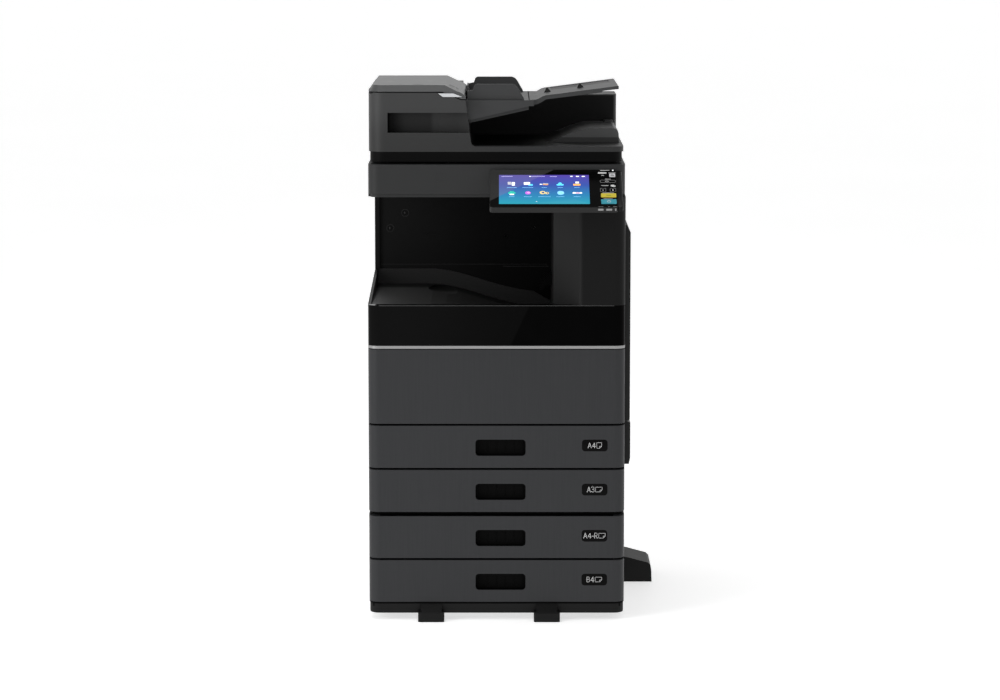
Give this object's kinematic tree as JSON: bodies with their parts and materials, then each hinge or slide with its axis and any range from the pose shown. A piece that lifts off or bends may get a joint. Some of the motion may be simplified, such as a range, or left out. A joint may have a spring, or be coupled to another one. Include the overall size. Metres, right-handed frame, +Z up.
{
  "type": "photocopier",
  "caption": "Free-standing office photocopier with document feeder, tilting touch panel, paper drawers and output tray.",
  "frame": {"origin": "on the floor, under the middle of the body", "axes": "+X to the right seen from the front, +Y to the back, +Z up"},
  "size_m": [0.668, 0.7339, 1.2253],
  "materials": {
    "charcoal_plastic": "fine grain",
    "black_plastic": "fine grain",
    "gloss_black": "polished",
    "steel_sheet": "zinc plated",
    "clear_glass": "polished",
    "grey_plastic": "fine grain",
    "white_foam": "soft",
    "rubber": "matte",
    "key_white": "satin",
    "key_yellow": "satin",
    "key_blue": "satin",
    "screen": "polished",
    "engine_parts": "fine grain"
  },
  "bodies": {
    "main_unit": {"base_skirt": "black_plastic", "stabilisers": "black_plastic", "pedestal_frame": "steel_sheet", "drawer_rails": "steel_sheet", "main_frame": "steel_sheet", "upper_frame": "steel_sheet", "side_covers": "charcoal_plastic", "rear_covers": "charcoal_plastic", "front_fascia": "gloss_black", "output_tray": "black_plastic", "back_wall": "black_plastic", "pillar_cover": "black_plastic", "toner_cartridges": "engine_parts", "drum_units": "engine_parts", "transfer_belt_unit": "engine_parts", "laser_unit": "engine_parts", "fuser_unit": "engine_parts", "power_unit": "engine_parts", "scanner_tub": "charcoal_plastic", "scanner_front_cover": "charcoal_plastic", "scanner_top_frame": "charcoal_plastic", "scanner_glasses": "clear_glass"},
    "front_door": {"front_door": "charcoal_plastic"},
    "drawer_1": {"drawer_1_front": "charcoal_plastic", "drawer_1_tray": "steel_sheet"},
    "drawer_2": {"drawer_2_front": "charcoal_plastic", "drawer_2_tray": "steel_sheet"},
    "drawer_3": {"drawer_3_front": "charcoal_plastic", "drawer_3_tray": "steel_sheet"},
    "drawer_4": {"drawer_4_front": "charcoal_plastic", "drawer_4_tray": "steel_sheet"},
    "right_door": {"right_door": "charcoal_plastic"},
    "bypass_tray": {"bypass_tray": "charcoal_plastic"},
    "feed_door": {"feed_door": "charcoal_plastic"},
    "exit_roller": {"exit_roller": "rubber"},
    "power_switch": {"power_switch": "black_plastic"},
    "scan_carriage": {"scan_carriage": "black_plastic"},
    "document_feeder": {"adf_base": "black_plastic", "adf_body": "charcoal_plastic", "adf_rear_cover": "charcoal_plastic", "input_tray_base": "black_plastic", "backing_pad": "white_foam"},
    "adf_top_cover": {"adf_top_cover": "charcoal_plastic"},
    "adf_latch": {"adf_latch": "grey_plastic"},
    "feed_tray": {"feed_tray": "charcoal_plastic"},
    "guide_front": {"guide_front": "charcoal_plastic"},
    "guide_rear": {"guide_rear": "charcoal_plastic"},
    "control_panel": {"panel_housing": "gloss_black", "touch_screen": "screen"},
    "key_home": {"key_home": "key_white"},
    "key_clear": {"key_clear": "key_yellow"},
    "key_start": {"key_start": "key_blue"},
    "castor_1": {"castor_1_fork": "steel_sheet"},
    "wheel_1": {"castor_1_wheel": "rubber"},
    "castor_2": {"castor_2_fork": "steel_sheet"},
    "wheel_2": {"castor_2_wheel": "rubber"},
    "castor_3": {"castor_3_fork": "steel_sheet"},
    "wheel_3": {"castor_3_wheel": "rubber"},
    "castor_4": {"castor_4_fork": "steel_sheet"},
    "wheel_4": {"castor_4_wheel": "rubber"}
  },
  "joints": [
    {"name": "front_door_hinge", "type": "hinge", "parent": "main_unit", "child": "front_door", "pos_m": [0, -0.2865, 0.4615], "axis": [1, 0, 0], "range_deg": [0, 85]},
    {"name": "drawer_1_slide", "type": "slide", "parent": "main_unit", "child": "drawer_1", "axis": [0, -1, 0], "range_m": [0, 0.42]},
    {"name": "drawer_2_slide", "type": "slide", "parent": "main_unit", "child": "drawer_2", "axis": [0, -1, 0], "range_m": [0, 0.42]},
    {"name": "drawer_3_slide", "type": "slide", "parent": "main_unit", "child": "drawer_3", "axis": [0, -1, 0], "range_m": [0, 0.42]},
    {"name": "drawer_4_slide", "type": "slide", "parent": "main_unit", "child": "drawer_4", "axis": [0, -1, 0], "range_m": [0, 0.42]},
    {"name": "right_door_hinge", "type": "hinge", "parent": "main_unit", "child": "right_door", "pos_m": [0.298, 0.24, 0], "axis": [0, 0, 1], "range_deg": [0, 75]},
    {"name": "bypass_tray_hinge", "type": "hinge", "parent": "right_door", "child": "bypass_tray", "pos_m": [0.30165, 0, 0.50535], "axis": [0, 1, 0], "range_deg": [0, 75]},
    {"name": "feed_door_hinge", "type": "hinge", "parent": "main_unit", "child": "feed_door", "pos_m": [0.298, 0.24, 0], "axis": [0, 0, 1], "range_deg": [0, 75]},
    {"name": "exit_roller_spin", "type": "hinge", "parent": "main_unit", "child": "exit_roller", "pos_m": [0.138, 0, 0.75], "axis": [0, 1, 0], "continuous": true},
    {"name": "power_switch_rock", "type": "hinge", "parent": "main_unit", "child": "power_switch", "pos_m": [-0.183, 0.291, 0.492], "axis": [-1, 0, 0], "range_deg": [0, 12]},
    {"name": "scan_carriage_slide", "type": "slide", "parent": "main_unit", "child": "scan_carriage", "axis": [1, 0, 0], "range_m": [0, 0.43]},
    {"name": "adf_lift", "type": "hinge", "parent": "main_unit", "child": "document_feeder", "pos_m": [0, 0.262, 1.062], "axis": [-1, 0, 0], "range_deg": [0, 65]},
    {"name": "adf_cover_hinge", "type": "hinge", "parent": "document_feeder", "child": "adf_top_cover", "pos_m": [-0.2835, 0, 1.212], "axis": [0, -1, 0], "range_deg": [0, 70]},
    {"name": "adf_latch_hinge", "type": "hinge", "parent": "adf_top_cover", "child": "adf_latch", "pos_m": [0, -0.27875, 1.2003], "axis": [1, 0, 0], "range_deg": [0, 14], "stiffness_Nm_per_rad": 0.02},
    {"name": "feed_tray_lift", "type": "hinge", "parent": "document_feeder", "child": "feed_tray", "pos_m": [0.0795, 0, 1.1837], "axis": [0, -1, 0], "range_deg": [0, 35]},
    {"name": "guide_front_slide", "type": "slide", "parent": "document_feeder", "child": "guide_front", "axis": [0, 1, 0], "range_m": [0, 0.1]},
    {"name": "guide_rear_slide", "type": "slide", "parent": "document_feeder", "child": "guide_rear", "axis": [0, 1, 0], "range_m": [-0.1, 0]},
    {"name": "panel_tilt", "type": "hinge", "parent": "main_unit", "child": "control_panel", "pos_m": [0, -0.31877, 1.01737], "axis": [1, 0, 0], "range_deg": [-20, 55]},
    {"name": "key_home_press", "type": "slide", "parent": "control_panel", "child": "key_home", "axis": [0, 0.4679, -0.8838], "range_m": [0, 0.001], "stiffness_N_per_m": 300},
    {"name": "key_clear_press", "type": "slide", "parent": "control_panel", "child": "key_clear", "axis": [0, 0.4679, -0.8838], "range_m": [0, 0.001], "stiffness_N_per_m": 300},
    {"name": "key_start_press", "type": "slide", "parent": "control_panel", "child": "key_start", "axis": [0, 0.4679, -0.8838], "range_m": [0, 0.001], "stiffness_N_per_m": 300},
    {"name": "castor_1_swivel", "type": "hinge", "parent": "main_unit", "child": "castor_1", "pos_m": [-0.225, -0.17, 0], "axis": [0, 0, 1], "continuous": true},
    {"name": "castor_1_roll", "type": "hinge", "parent": "castor_1", "child": "wheel_1", "pos_m": [-0.225, -0.156, 0.019], "axis": [1, 0, 0], "continuous": true},
    {"name": "castor_2_swivel", "type": "hinge", "parent": "main_unit", "child": "castor_2", "pos_m": [0.225, -0.17, 0], "axis": [0, 0, 1], "continuous": true},
    {"name": "castor_2_roll", "type": "hinge", "parent": "castor_2", "child": "wheel_2", "pos_m": [0.225, -0.156, 0.019], "axis": [1, 0, 0], "continuous": true},
    {"name": "castor_3_swivel", "type": "hinge", "parent": "main_unit", "child": "castor_3", "pos_m": [-0.225, 0.225, 0], "axis": [0, 0, 1], "continuous": true},
    {"name": "castor_3_roll", "type": "hinge", "parent": "castor_3", "child": "wheel_3", "pos_m": [-0.225, 0.239, 0.019], "axis": [1, 0, 0], "continuous": true},
    {"name": "castor_4_swivel", "type": "hinge", "parent": "main_unit", "child": "castor_4", "pos_m": [0.225, 0.225, 0], "axis": [0, 0, 1], "continuous": true},
    {"name": "castor_4_roll", "type": "hinge", "parent": "castor_4", "child": "wheel_4", "pos_m": [0.225, 0.239, 0.019], "axis": [1, 0, 0], "continuous": true}
  ],
  "couplings": [
    {"joint": "guide_rear_slide", "follows": "guide_front_slide", "ratio": -1}
  ]
}
